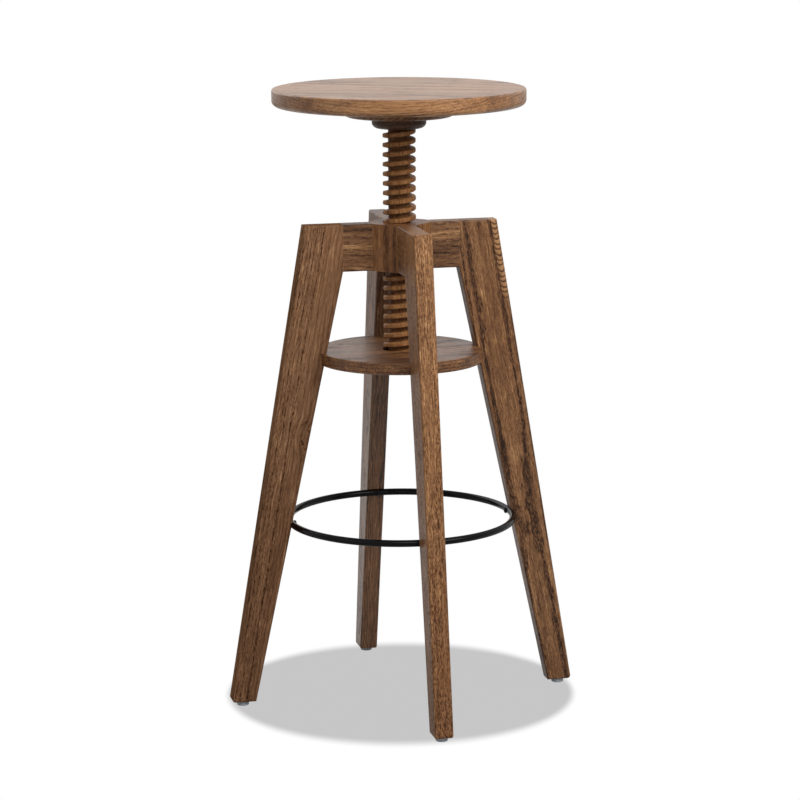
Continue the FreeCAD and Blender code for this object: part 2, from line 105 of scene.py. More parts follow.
def smoothStep(tree, value, low, high):  # 0 below low, 1 above high
    node = addNode(tree, "ShaderNodeMapRange", interpolation_type="SMOOTHSTEP")
    join(tree, value, (node, "Value"))
    for name, number in (("From Min", low), ("From Max", high)):
        if isinstance(number, tuple):
            join(tree, number, (node, name))
        else:
            node.inputs[name].default_value = number
    return (node, "Result")


def fade(tree, value, low, high):  # 1 below low, 0 above high
    return calc(tree, "SUBTRACT", 1.0, smoothStep(tree, value, low, high))


def parts(tree, vector):
    split = addNode(tree, "ShaderNodeSeparateXYZ")
    join(tree, vector, (split, 0))
    return [(split, axis) for axis in range(3)]


def srgb(red, green, blue):  # 0 to 255 as on a screen, to linear
    steps = [value / 255 for value in (red, green, blue)]
    return tuple(v / 12.92 if v <= 0.04045 else ((v + 0.055) / 1.055) ** 2.4 for v in steps) + (1.0,)


def colourRamp(tree, factor, stops):
    ramp = addNode(tree, "ShaderNodeValToRGB")
    band = ramp.color_ramp
    while len(band.elements) < len(stops):
        band.elements.new(0.5)
    for element, (place, colour) in zip(band.elements, stops):
        element.position = place
        element.color = srgb(*colour)
    join(tree, factor, (ramp, "Fac"))
    return (ramp, "Color")


def mixColour(tree, factor, first, second, mode="MIX"):  # each value is a pair, a number or a colour
    node = addNode(tree, "ShaderNodeMix", data_type="RGBA", blend_type=mode)
    for index, value in ((0, factor), (6, first), (7, second)):  # the node's sockets for colours
        if isinstance(value, tuple) and len(value) == 2:
            join(tree, value, (node, index))
        else:
            node.inputs[index].default_value = value
    return (node, 2)


def mixShader(tree, factor, first, second):
    node = addNode(tree, "ShaderNodeMixShader")
    for index, value in enumerate((factor, first, second)):
        join(tree, value, (node, index))
    return (node, 0)


def addBump(tree, shader, height, strength, distance):
    bump = addNode(tree, "ShaderNodeBump")
    bump.inputs["Strength"].default_value = strength
    bump.inputs["Distance"].default_value = distance
    join(tree, height, (bump, "Height"))
    join(tree, (bump, "Normal"), (shader, "Normal"))


def newGroup(name, inputs, outputs):
    group = bpy.data.node_groups.new(name, "ShaderNodeTree")
    for direction, sockets in (("INPUT", inputs), ("OUTPUT", outputs)):
        for socketName, kind in sockets:
            group.interface.new_socket(socketName, in_out=direction, socket_type=kind)
    start = group.nodes.new("NodeGroupInput")
    end = group.nodes.new("NodeGroupOutput")
    return group, start, end


def newMaterial(name):
    material = bpy.data.materials.new(name)
    material.use_nodes = True
    tree = material.node_tree
    shader = next(node for node in tree.nodes if node.type == "BSDF_PRINCIPLED")
    return material, tree, shader


def dress(nodeName, material):  # every slot of a CAD node gets the material
    for slot in nodes[nodeName].material_slots:
        slot.material = material


# the wood figure: growth rings round a pith line along local Z, with open pores and fibre lines

figureSockets = {  # the group's inputs, and the words for them in a look
    "Tone": "tone", "Ring Size": "ringSize", "Band Share": "bandShare", "Band Depth": "bandDepth",
    "Dash Depth": "dashDepth", "Dash Spread": "dashSpread", "Pale Lines": "paleLines", "Clouds": "clouds",
    "Wander": "wander", "Wave Rate": "waveRate",
}
figureLayers = {  # repeats in a metre across and along the grain, then detail and roughness
    "ragged": ((240, 240, 40), 4.0, 0.7),
    "clouds": ((26, 26, 2.4), 4.0, 0.55),
    "streaks": ((85, 85, 5), 3.0, 0.6),
    "fibres": ((380, 380, 45), 4.0, 0.75),
    "pale": ((520, 520, 30), 2.0, 0.6),
    "shortDash": ((840, 840, 210), 2.0, 0.6),
    "longDash": ((640, 640, 80), 3.0, 0.65),
    "patches": ((70, 70, 9), 2.0, 0.55),
}
figureSteps = {  # between these two values a layer goes from none to full
    "pale": (0.54, 0.66),
    "shortDash": (0.46, 0.6),
    "longDash": (0.52, 0.62),
    "patches": (0.3, 0.6),
}
figureLook = {"wavesAcross": 16, "waveDetail": 3.0, "raggedness": 0.9, "ringStart": 0.2, "leastPores": 0.6,
              "fibreDepth": 0.8, "fibreHeight": 0.35}


def makeWoodFigure(look):
    inputs = [("Vector", "NodeSocketVector")] + [(name, "NodeSocketFloat") for name in figureSockets]
    outputs = [(name, "NodeSocketFloat") for name in ("Shade", "Pores", "Height")]
    tree, start, end = newGroup("woodFigure", inputs, outputs)
    point = (start, "Vector")
    layer = {name: stretchedNoise(tree, point, *values) for name, values in figureLayers.items()}
    for name, (low, high) in figureSteps.items():
        layer[name] = smoothStep(tree, layer[name], low, high)
    # the rings wander a little along the board
    waves = addNode(tree, "ShaderNodeCombineXYZ")
    waves.inputs["X"].default_value = look["wavesAcross"]
    waves.inputs["Y"].default_value = look["wavesAcross"]
    join(tree, (start, "Wave Rate"), (waves, "Z"))
    bend = stretchedNoise(tree, point, (waves, 0), look["waveDetail"])
    centred = vectorCalc(tree, "SUBTRACT", (bend[0], "Color"), (0.5, 0.5, 0.5))
    pushed = vectorCalc(tree, "SCALE", centred, (start, "Wander"))
    radius = fromAxis(tree, vectorCalc(tree, "ADD", point, pushed))
    # early wood starts soon after each ring and thins out again, with ragged edges
    count = calc(tree, "DIVIDE", radius, (start, "Ring Size"))
    count = calc(tree, "ADD", count, spread(tree, layer["ragged"], look["raggedness"]))
    phase = calc(tree, "FRACT", count)
    perRing = addNode(tree, "ShaderNodeTexWhiteNoise", noise_dimensions="1D")
    join(tree, calc(tree, "FLOOR", count), (perRing, "W"))
    share = calc(tree, "MULTIPLY", (start, "Band Share"), calc(tree, "ADD", (perRing, "Value"), 0.5))
    early = fade(tree, phase, calc(tree, "MULTIPLY", share, 0.5), share)
    early = calc(tree, "MULTIPLY", early, smoothStep(tree, phase, 0.0, look["ringStart"]))
    # open pores: short dark dashes, crowded in the early wood
    crowd = calc(tree, "MAXIMUM", early, (start, "Dash Spread"))
    thinned = calc(tree, "MULTIPLY_ADD", layer["patches"], 1 - look["leastPores"], look["leastPores"])
    crowd = calc(tree, "MULTIPLY", crowd, thinned)
    dashes = calc(tree, "MAXIMUM", layer["shortDash"], layer["longDash"])
    pores = calc(tree, "MULTIPLY", dashes, crowd, clamp=True)
    # the shade: clouds, streaks and fibres round the tone, then pale lines, early wood and pores
    shade = (start, "Tone")
    for name, amount in (("clouds", (start, "Clouds")), ("streaks", (start, "Clouds")),
                         ("fibres", look["fibreDepth"])):
        shade = calc(tree, "MULTIPLY_ADD", calc(tree, "SUBTRACT", layer[name], 0.5), amount, shade)
    shade = calc(tree, "MULTIPLY_ADD", layer["pale"], (start, "Pale Lines"), shade)
    shade = calc(tree, "SUBTRACT", shade, calc(tree, "MULTIPLY", early, (start, "Band Depth")))
    shade = calc(tree, "SUBTRACT", shade, calc(tree, "MULTIPLY", pores, (start, "Dash Depth")), clamp=True)
    height = calc(tree, "SUBTRACT", calc(tree, "MULTIPLY", layer["fibres"], look["fibreHeight"]), pores)
    for source, name in ((shade, "Shade"), (pores, "Pores"), (height, "Height")):
        join(tree, source, (end, name))
    return tree


# wear and painted highlight: 1 along sharp edges, broken up by noise

edgeLook = {"samples": 4, "turned": (0.01, 0.16), "spotScale": (90, 90, 90), "spots": (0.35, 0.62)}


def makeEdgeWearAndHighlight(look):
    tree, start, end = newGroup("edgeWearAndHighlight", [("Reach", "NodeSocketFloat")], [("Edge", "NodeSocketFloat")])
    soft = addNode(tree, "ShaderNodeBevel", samples=look["samples"])
    join(tree, (start, "Reach"), (soft, "Radius"))
    geometry = addNode(tree, "ShaderNodeNewGeometry")
    match = vectorCalc(tree, "DOT_PRODUCT", (soft, "Normal"), (geometry, "Normal"))
    turned = smoothStep(tree, calc(tree, "SUBTRACT", 1.0, match), *look["turned"])
    spots = stretchedNoise(tree, objectPlace(tree), look["spotScale"], detail=4.0, rough=0.7)
    edge = calc(tree, "MULTIPLY", turned, smoothStep(tree, spots, *look["spots"]))
    join(tree, edge, (end, "Edge"))
    return tree


woodFigure = makeWoodFigure(figureLook)
edgeWearAndHighlight = makeEdgeWearAndHighlight(edgeLook)


# glued staves: each shows another part of the figure, in a tone of its own

staveLook = {"shift": (0.03, 0.05, 0.7), "tone": 0.12}


def addStaves(tree, vector, width):
    across = parts(tree, vector)[1]
    chance = addNode(tree, "ShaderNodeTexWhiteNoise", noise_dimensions="1D")
    join(tree, calc(tree, "FLOOR", calc(tree, "DIVIDE", across, width)), (chance, "W"))
    shift = vectorCalc(tree, "MULTIPLY", (chance, "Color"), staveLook["shift"])
    return vectorCalc(tree, "ADD", vector, shift), spread(tree, (chance, "Value"), staveLook["tone"])


# a small knot pushes the rings aside round its centre and has broken lines of its own
def addKnot(tree, place, vector, knot):
    gap = vectorCalc(tree, "SUBTRACT", place, knot["centre"])
    length = vectorCalc(tree, "LENGTH", vectorCalc(tree, "MULTIPLY", gap, (1, 1, knot["squeeze"])))
    near = fade(tree, length, 0.0, knot["radius"])
    shift = vectorCalc(tree, "SCALE", knot["push"], near)
    frayed = stretchedNoise(tree, place, knot["frayScale"], detail=2.0)
    around = calc(tree, "MULTIPLY_ADD", frayed, knot["fray"], length)
    oval = calc(tree, "FRACT", calc(tree, "DIVIDE", around, knot["line"]))
    breaks = stretchedNoise(tree, place, knot["breakScale"], detail=2.0)
    broken = smoothStep(tree, breaks, *knot["breaks"])
    kept = calc(tree, "MULTIPLY", near, broken)
    lines = calc(tree, "MULTIPLY", smoothStep(tree, oval, *knot["lineEdge"]), kept)
    return vectorCalc(tree, "ADD", vector, shift), calc(tree, "MULTIPLY", lines, knot["depth"])


# a ladder of pale and dark arcs along a leg's outer edge, where the cut runs across the rings
def addLadder(tree, place, shade, ladder):
    reach, _, height = parts(tree, place)
    wobble = stretchedNoise(tree, place, ladder["wobbleScale"], detail=2.0)
    below = calc(tree, "SUBTRACT", ladder["top"], height)
    edge = calc(tree, "MULTIPLY_ADD", below, ladder["slope"], ladder["reach"])
    inward = calc(tree, "SUBTRACT", edge, reach)
    inward = calc(tree, "ADD", inward, spread(tree, wobble, ladder["sideWobble"]))
    share = calc(tree, "DIVIDE", inward, ladder["width"])
    middle = calc(tree, "SUBTRACT", share, 0.5)
    sag = calc(tree, "MULTIPLY", calc(tree, "MULTIPLY", middle, middle), ladder["sag"])
    climb = calc(tree, "SUBTRACT", height, sag)
    climb = calc(tree, "ADD", climb, spread(tree, wobble, ladder["rungWobble"]))
    step = calc(tree, "FRACT", calc(tree, "DIVIDE", climb, ladder["spacing"]))
    rung = fade(tree, step, *ladder["rung"])
    inside = fade(tree, share, *ladder["side"])
    above = smoothStep(tree, height, ladder["low"], ladder["low"] + ladder["lowFade"])
    arcs = calc(tree, "MULTIPLY_ADD", rung, -ladder["rungDepth"], ladder["tone"])
    fine = calc(tree, "MULTIPLY_ADD", calc(tree, "SUBTRACT", shade, 0.5), ladder["figureShare"], arcs)
    mixer = addNode(tree, "ShaderNodeMix", data_type="FLOAT")
    mask = calc(tree, "MULTIPLY", inside, above)
    for index, value in ((0, mask), (2, shade), (3, fine)):  # the node's sockets for numbers
        join(tree, value, (mixer, index))
    return (mixer, 0)


# what all wooden pieces share: a drifting tint, edges paler from wear and painted highlight, smears in the
# finish
finish = {"driftScale": (18, 18, 3), "warmTint": (1.03, 0.98, 0.93, 1.0), "coolTint": (0.97, 1.0, 1.03, 1.0),
          "wearAndHighlightReach": 0.003, "smearScale": (22, 22, 22), "smear": 0.16, "poreRoughness": 0.2,
          "bumpDistance": 0.0006, "coatRoughness": 0.3}


def alongGrain(tree, place, look):  # turned so that Z runs along the grain, and moved by the pith's offset
    turn = Vector(look["grain"]).normalized().rotation_difference(Vector((0, 0, 1))).to_matrix()
    mapping = addNode(tree, "ShaderNodeMapping", vector_type="POINT")
    mapping.inputs["Rotation"].default_value = turn.to_euler()
    mapping.inputs["Location"].default_value = look["pith"]
    join(tree, place, (mapping, "Vector"))
    return (mapping, "Vector")


def makeWood(name, look):
    material, tree, shader = newMaterial(name)
    place = objectPlace(tree)
    vector = alongGrain(tree, place, look)
    if "stave" in look:
        vector, staveTone = addStaves(tree, vector, look["stave"])
    if "stretch" in look:  # a longer figure along the grain
        vector = vectorCalc(tree, "MULTIPLY", vector, (1, 1, look["stretch"]))
    if "knot" in look:
        vector, knotLines = addKnot(tree, place, vector, look["knot"])
    figure = addNode(tree, "ShaderNodeGroup", node_tree=woodFigure)
    join(tree, vector, (figure, "Vector"))
    for socket, key in figureSockets.items():
        figure.inputs[socket].default_value = look[key]
    if "calm" in look:  # pores are fainter towards one side of the board
        inner = smoothStep(tree, parts(tree, vector)[0], *look["calm"]["span"])
        depth = look["dashDepth"]
        thinner = calc(tree, "MULTIPLY_ADD", inner, -look["calm"]["loss"] * depth, depth)
        join(tree, thinner, (figure, "Dash Depth"))
    shade = (figure, "Shade")
    if "stave" in look:
        shade = calc(tree, "ADD", shade, staveTone, clamp=True)
    if "knot" in look:
        shade = calc(tree, "SUBTRACT", shade, knotLines, clamp=True)
    if "climb" in look:  # painted light: paler towards the top, darker towards the foot
        above = calc(tree, "SUBTRACT", parts(tree, place)[2], look["climbLevel"])
        shade = calc(tree, "MULTIPLY_ADD", above, look["climb"], shade, clamp=True)
    if "ladder" in look:
        shade = addLadder(tree, place, shade, look["ladder"])
    if "groove" in look:  # painted shade, darker deep in the thread
        crest = smoothStep(tree, fromAxis(tree, place), *look["groove"])
        paintedGrooveShade = calc(tree, "MULTIPLY_ADD", crest, 1 - look["grooveShade"], look["grooveShade"])
        shade = calc(tree, "MULTIPLY", shade, paintedGrooveShade)
    colour = colourRamp(tree, shade, look["colours"])
    drift = stretchedNoise(tree, vector, finish["driftScale"], detail=2.0)
    tint = mixColour(tree, drift, finish["warmTint"], finish["coolTint"])
    colour = mixColour(tree, 1.0, colour, tint, "MULTIPLY")
    # edges paler: partly wear, partly painted highlight
    wearAndHighlight = addNode(tree, "ShaderNodeGroup", node_tree=edgeWearAndHighlight)
    wearAndHighlight.inputs["Reach"].default_value = finish["wearAndHighlightReach"]
    wornAndLit = calc(tree, "MULTIPLY", (wearAndHighlight, "Edge"), look["wearAndHighlight"])
    colour = mixColour(tree, wornAndLit, colour, srgb(*look["wornAndHighlightColour"]))
    join(tree, colour, (shader, "Base Color"))
    smear = stretchedNoise(tree, place, finish["smearScale"], detail=4.0, rough=0.6)
    gloss = spread(tree, smear, finish["smear"], look["roughness"])
    gloss = calc(tree, "MULTIPLY_ADD", (figure, "Pores"), finish["poreRoughness"], gloss)
    join(tree, gloss, (shader, "Roughness"))
    addBump(tree, shader, (figure, "Height"), look["bump"], finish["bumpDistance"])
    shader.inputs["Specular IOR Level"].default_value = look["shine"]
    shader.inputs["Coat Weight"].default_value = look["coat"]
    shader.inputs["Coat Roughness"].default_value = finish["coatRoughness"]
    return material


# camera: on a circle round the axis, turned to look at the stool and slightly down

cameraLook = {
    "distance": 3.840,
    "height": 1.162,
    "azimuth": -13.4,
    "tilt": 11.2,
    "roll": -0.3,
    "lens": 133.56,
    "sensor": 36,
    "aside": 0.0015,
    "shiftX": -0.002,
    "shiftY": -0.0006,
    "farClip": 60,
}
viewTurn = math.radians(cameraLook["azimuth"])


def makeCamera(look):
    data = bpy.data.cameras.new("camera")
    camera = bpy.data.objects.new("camera", data)
    bpy.context.scene.collection.objects.link(camera)
    data.sensor_width = look["sensor"]
    data.lens = look["lens"]
    data.shift_x = look["shiftX"]
    data.shift_y = look["shiftY"]
    data.clip_end = look["farClip"]
    turn = Matrix.Rotation(viewTurn, 4, "Z")
    tip = Matrix.Rotation(math.radians(90 - look["tilt"]), 4, "X")
    lean = Matrix.Rotation(math.radians(look["roll"]), 4, "Z")
    spot = Matrix.Translation((look["aside"], -look["distance"], look["height"]))
    camera.matrix_world = turn @ spot @ tip @ lean
    bpy.context.scene.camera = camera


makeCamera(cameraLook)
print("camera placed")


# wooden pieces

def reachAtTop(side):  # how far a leg's outer edge stands from the axis at its top
    _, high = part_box("leg_" + side)
    x, y = outward[side]
    topBand = 0.001
    rim = [point.co for point in nodes["leg_" + side].data.vertices if point.co.z > high[2] - topBand]
    return max(spot.x * x + spot.y * y for spot in rim)


legLow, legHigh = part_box("leg_right")
topReach = reachAtTop("right")
legSlope = (legHigh[0] - topReach) / (legHigh[2] - legLow[2])
middleSlope = 1.08  # the middle of a leg leans a little more than its outer edge
legTilt = math.atan(legSlope * middleSlope)
legCentre = (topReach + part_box("arm_right")[1][0]) / 2 * math.cos(legTilt) + legHigh[2] * math.sin(legTilt)

brown = [(0.0, (37, 21, 11)), (0.22, (66, 41, 24)), (0.5, (103, 71, 47)), (0.75, (136, 98, 66)),
         (1.0, (182, 140, 97))]
warm = [(0.0, (44, 23, 11)), (0.22, (77, 47, 27)), (0.5, (120, 83, 55)), (0.75, (154, 112, 76)),
        (1.0, (196, 150, 104))]
muted = [(0.0, (40, 25, 16)), (0.22, (70, 46, 30)), (0.5, (108, 77, 55)), (0.75, (141, 104, 76)),
         (1.0, (186, 146, 107))]
golden = [(0.0, (48, 27, 12)), (0.22, (86, 54, 29)), (0.5, (131, 90, 56)), (0.75, (165, 120, 78)),
          (1.0, (200, 154, 106))]
dark = [(0.0, (26, 14, 7)), (0.3, (48, 29, 17)), (0.7, (82, 54, 34)), (1.0, (120, 84, 56))]
turned = [(0.0, (22, 10, 4)), (0.3, (60, 34, 17)), (0.6, (116, 77, 46)), (1.0, (172, 124, 80))]
hubBrown = [(0.0, (30, 15, 6)), (0.3, (68, 40, 21)), (0.6, (112, 74, 44)), (1.0, (166, 119, 77))]
pale = [(0.0, (120, 88, 58)), (0.5, (168, 132, 94)), (1.0, (196, 162, 122))]

oak = {
    "grain": (0, 0, 1), "pith": (0.05, 0.02, 0), "colours": brown, "tone": 0.64,
    "ringSize": 0.005, "bandShare": 0.5, "bandDepth": 0.12, "wander": 0.008, "waveRate": 4.0,
    "dashDepth": 0.45, "dashSpread": 0.35, "paleLines": 0.2, "clouds": 0.5, "climbLevel": 0.32,
    "grooveShade": 0.55, "wearAndHighlight": 0.3, "wornAndHighlightColour": (160, 120, 84), "roughness": 0.36, "bump": 0.3,
    "shine": 0.16, "coat": 0.0,
}

ladderLook = {
    "top": legHigh[2], "slope": legSlope, "reach": topReach, "width": 0.0098, "side": (0.8, 1.05),
    "low": 0.525, "lowFade": 0.02, "spacing": 0.0071, "sag": 0.014, "rung": (0.08, 0.5),
    "tone": 0.84, "rungDepth": 0.6, "figureShare": 0.3,
    "wobbleScale": (60, 60, 60), "sideWobble": 0.004, "rungWobble": 0.008,
}
knotLook = {
    "centre": (-0.1302, -0.012, 0.358), "squeeze": 0.8, "radius": 0.026, "push": (0.008, 0.0, 0.0),
    "line": 0.009, "lineEdge": (0.75, 0.97), "depth": 0.75, "frayScale": (75, 75, 60), "fray": 0.018,
    "breakScale": (140, 140, 90), "breaks": (0.42, 0.58),
}
legLooks = {  # a leg's pith is given from the leg's middle: outwards, sideways and along
    # climb: painted light, a leg paler towards its top and darker towards its foot
    "right": {"pith": (0.004, 0.045, 0.0), "tone": 0.67, "climb": 0.22, "ringSize": 0.0058, "bandDepth": 0.27,
              "dashDepth": 0.6, "dashSpread": 0.42, "wander": 0.012, "ladder": ladderLook},
    "back": {"pith": (0.01, 0.04, 0.3), "tone": 0.6, "ringSize": 0.004, "bandDepth": 0.2, "dashDepth": 0.3,
             "wander": 0.045, "waveRate": 5.0, "shine": 0.4},
    "left": {"pith": (0.07, 0.03, 0.6), "colours": muted, "climb": 0.12, "ringSize": 0.0042,
             "dashDepth": 0.55, "calm": {"span": (-0.068, -0.058), "loss": 0.75}, "clouds": 0.4,
             "shine": 0.0, "knot": knotLook},
    "front": {"pith": (0.0, 0.07, 0.9), "colours": warm, "tone": 0.645, "climb": 0.3, "ringSize": 0.004,
              "bandDepth": 0.06, "dashSpread": 0.8, "dashDepth": 0.5, "clouds": 0.22, "shine": 0.1},
}
for side, (x, y) in outward.items():
    out, aside, along = legLooks[side]["pith"]
    grain = (-x * math.sin(legTilt), -y * math.sin(legTilt), math.cos(legTilt))
    pith = (x * (out - legCentre) + y * aside, y * (out - legCentre) + x * aside, along)
    dress("leg_" + side, makeWood("leg_" + side, {**oak, **legLooks[side], "grain": grain, "pith": pith}))

armOak = {**oak, "ringSize": 0.0075, "bandDepth": 0.14, "bandShare": 0.55, "wander": 0.022, "waveRate": 12.0,
          "clouds": 0.8, "coat": 0.04}
armLooks = {
    "right": {"pith": (-0.62, 0.05, 0.2), "tone": 0.61},
    "back": {"pith": (-0.60, 0.06, 0.4)},
    "left": {"pith": (0.61, 0.05, 0.1), "tone": 0.6},
    "front": {"pith": (-0.60, 0.055, 0.7), "bandDepth": 0.08, "dashDepth": 0.2, "clouds": 0.3, "shine": 0.1},
}
for side, (x, y) in outward.items():
    dress("arm_" + side, makeWood("arm_" + side, {**armOak, "grain": (x, y, 0.02), **armLooks[side]}))

dowelLook = {**oak, "grain": (1, 0, 0), "colours": pale}
woodLooks = {
    "seat_board": {
        **oak, "grain": (math.cos(viewTurn), math.sin(viewTurn), 0.03), "pith": (-0.86, 0.0, 0),
        "colours": golden, "tone": 0.6, "ringSize": 0.004, "bandDepth": 0.14, "wander": 0.01,
        "dashDepth": 0.34, "paleLines": 0.15, "stave": 0.066, "stretch": 0.4, "shine": 0.2, "coat": 0.34,
    },
    "seat_plate": {**oak, "grain": (0.3, 1, 0), "pith": (-0.7, 0.05, 0)},
    "spindle_collar": {**oak, "grain": (1, 0.4, 0), "pith": (-0.7, 0.0, 0), "colours": dark},
    "spindle": {
        **oak, "pith": (0.09, 0.03, 0), "colours": turned, "tone": 0.8, "bandDepth": 0.04,
        "dashDepth": 0.25, "groove": (0.0148, 0.0175), "wearAndHighlight": 0.35, "shine": 0.06,
    },
    "hub_block": {
        **oak, "pith": (0.07, 0.05, 0.2), "colours": hubBrown, "tone": 0.71, "bandDepth": 0.22,
        "wander": 0.0025, "dashDepth": 0.3, "clouds": 0.8, "groove": (0.0150, 0.0225), "shine": 0.12,
        "coat": 0.06,
    },
    "shelf_disc": {
        **oak, "grain": (1, 0.1, 0.02), "pith": (-0.47, 0.03, 0), "colours": golden, "tone": 0.42,
        "wander": 0.014, "waveRate": 8.0, "clouds": 0.65, "stave": 0.07, "stretch": 0.6, "shine": 0.25,
        "coat": 0.08,
    },
    "hub_dowels": dowelLook,
    "leg_dowels": dowelLook,
    "shelf_dowels": dowelLook,
}
for name, look in woodLooks.items():
    dress(name, makeWood(name, look))
print("wood finished")


# metal and nylon

coatLook = {"colour": (6, 4, 6), "paler": 6, "cloudScale": (60, 60, 60), "roughness": 0.16, "uneven": 0.14,
            "shine": 0.09, "gritScale": (1500, 1500, 1500), "bump": 0.15, "bumpDistance": 0.0002}
zincLook = {"colours": [(0.2, (132, 130, 124)), (0.8, (188, 186, 180))], "cloudScale": (300, 300, 900),
            "detail": 3.0, "roughness": 0.375, "uneven": 0.25}
nylonLook = {"colours": [(0.2, (150, 157, 164)), (0.8, (186, 192, 197))], "cloudScale": (120, 120, 120),
             "detail": 4.0, "roughness": 0.5, "uneven": 0.2, "bump": 0.2, "bumpDistance": 0.0002}


def makeCoatedSteel(name, look):
    material, tree, shader = newMaterial(name)
    place = objectPlace(tree)
    grit = stretchedNoise(tree, place, look["gritScale"], detail=2.0)
    cloud = stretchedNoise(tree, place, look["cloudScale"], detail=3.0)
    paler = [value + look["paler"] for value in look["colour"]]
    join(tree, mixColour(tree, cloud, srgb(*look["colour"]), srgb(*paler)), (shader, "Base Color"))
    join(tree, spread(tree, cloud, look["uneven"], look["roughness"]), (shader, "Roughness"))
    addBump(tree, shader, grit, look["bump"], look["bumpDistance"])
    shader.inputs["Specular IOR Level"].default_value = look["shine"]
    return material


def makeClouded(name, look):  # a ramp of two colours and an uneven gloss
    material, tree, shader = newMaterial(name)
    cloud = stretchedNoise(tree, objectPlace(tree), look["cloudScale"], look["detail"])
    join(tree, colourRamp(tree, cloud, look["colours"]), (shader, "Base Color"))
    join(tree, spread(tree, cloud, look["uneven"], look["roughness"]), (shader, "Roughness"))
    return material, tree, shader, cloud


def makeZinc(name, look):
    material, _, shader, _ = makeClouded(name, look)
    shader.inputs["Metallic"].default_value = 1.0
    return material


def makeNylon(name, look):
    material, tree, shader, cloud = makeClouded(name, look)
    addBump(tree, shader, cloud, look["bump"], look["bumpDistance"])
    return material


dress("foot_ring", makeCoatedSteel("blackCoat", coatLook))
dress("ring_screws", makeCoatedSteel("screwCoat", {**coatLook, "roughness": 0.45}))
zinc = makeZinc("zinc", zincLook)
for name in ("seat_plate_screws", "spindle_lag_screw", "lag_washer", "stop_washer", "stop_screw",
             "glide_nails"):
    dress(name, zinc)
nylon = makeNylon("nylon", nylonLook)
for side in outward:
    dress("glide_" + side, nylon)
print("metal and nylon finished")


# screws: copies of the CAD screws with a cross recess cut into each head

screwBase = {"tip": 0.5, "weld": 0.000004, "smoothAngle": 30}  # tip: a bar's inner end against its outer end
plateScrewLook = {**screwBase, "node": "seat_plate_screws", "name": "seatPlateScrews", "body": "seat",
                  "slot": "screw_steel", "across": 0.0054, "blade": 0.0011, "depth": 0.0016,
                  "headRadius": 0.0045}
stopScrewLook = {**screwBase, "node": "stop_screw", "name": "stopScrew", "body": "seat",
                 "slot": "screw_steel", "across": 0.0076, "blade": 0.0015, "depth": 0.0022}
ringScrewLook = {**screwBase, "node": "ring_screws", "name": "ringScrews", "body": "base",
                 "slot": "ring_steel", "across": 0.0046, "blade": 0.001, "depth": 0.0014}


def selectOnly(piece):
    bpy.ops.object.select_all(action="DESELECT")
    piece.select_set(True)
    bpy.context.view_layer.objects.active = piece


def copyNode(look):
    piece = bpy.data.objects.new(look["name"], nodes[look["node"]].data.copy())
    bpy.context.scene.collection.objects.link(piece)
    selectOnly(piece)
    bpy.ops.object.mode_set(mode="EDIT")
    bpy.ops.mesh.select_all(action="SELECT")
    bpy.ops.mesh.remove_doubles(threshold=look["weld"])
    bpy.ops.mesh.customdata_custom_splitnormals_clear()
    bpy.ops.object.mode_set(mode="OBJECT")
    return piece


def makeBar(centre, facing, longAxis, look):  # a block through the head's face, narrower at its inner end
    size = [2 * look["depth"] if facing[axis] else look["blade"] for axis in range(3)]
    size[longAxis] = look["across"]
    bpy.ops.object.select_all(action="DESELECT")
    bpy.ops.mesh.primitive_cube_add(size=1, location=centre)
    bar = bpy.context.object
    bar.scale = size
    bpy.ops.object.transform_apply(location=True, rotation=True, scale=True)
    outwards = Vector(facing)
    inner = min(vertex.co.dot(outwards) for vertex in bar.data.vertices)
    for face in bar.data.polygons:
        face.select = face.center.dot(outwards) < inner + look["depth"] / 2
    middle = Vector(centre) - outwards * look["depth"]
    bpy.ops.object.mode_set(mode="EDIT")
    bpy.ops.transform.resize(value=[look["tip"]] * 3, center_override=middle)
    bpy.ops.object.mode_set(mode="OBJECT")
    return bar


def makeBars(spots, turn, look):  # one bar of the cross at each head, joined to one object
    bars = []
    for centre, facing in spots:
        longAxis = [axis for axis in range(3) if not facing[axis]][turn]
        bars.append(makeBar(centre, facing, longAxis, look))
    bpy.ops.object.select_all(action="DESELECT")
    for bar in bars:
        bar.select_set(True)
    bpy.context.view_layer.objects.active = bars[0]
    if len(bars) > 1:
        bpy.ops.object.join()
    return bpy.context.view_layer.objects.active


def cutCrosses(look, spots):
    piece = copyNode(look)
    for turn in range(2):
        bars = makeBars(spots, turn, look)
        cut = piece.modifiers.new("recess", "BOOLEAN")
        cut.operation = "DIFFERENCE"
        cut.solver = "EXACT"
        cut.object = bars
        selectOnly(piece)
        bpy.ops.object.modifier_apply(modifier=cut.name)
        bpy.data.objects.remove(bars)
    bpy.ops.object.shade_smooth_by_angle(angle=math.radians(look["smoothAngle"]))
    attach(piece, look["body"])
    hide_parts(look["node"])


plateLow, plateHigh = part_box("seat_plate_screws")
plateReach = plateHigh[0] - plateScrewLook["headRadius"]
plateSpots = [((x * plateReach, y * plateReach, plateLow[2]), (0, 0, -1)) for x, y in outward.values()]
cutCrosses(plateScrewLook, plateSpots)

stopLow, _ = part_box("stop_screw")
cutCrosses(stopScrewLook, [((0, 0, stopLow[2]), (0, 0, -1))])

ringLow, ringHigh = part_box("ring_screws")
ringReach = min(math.hypot(point.co.x, point.co.y) for point in nodes["ring_screws"].data.vertices)
ringMiddle = (ringLow[2] + ringHigh[2]) / 2
ringSpots = [((x * ringReach, y * ringReach, ringMiddle), (-x, -y, 0)) for x, y in outward.values()]
cutCrosses(ringScrewLook, ringSpots)
print("screw heads cut")


# floor: white, with a painted round grey shadow whose edge is softer towards the front and the back

floorLook = {
    "size": 14.0, "level": -0.0005, "roughness": 0.9,
    "shadowCentre": (0.0, 0.008), "shadowRadius": 0.2315, "softAside": 0.007, "softAhead": 0.022,
    "white": (1.0, 1.0, 1.0, 1.0), "paintedShadowGrey": (198, 198, 198),
    "bounce": (0.1, 0.1, 0.1, 1.0), "bounceShare": 0.6,  # it throws back less light than it shows
    "paleReach": (1.8, 3.2), "mirrorNear": 0.7, "mirrorFar": 0.2,
}


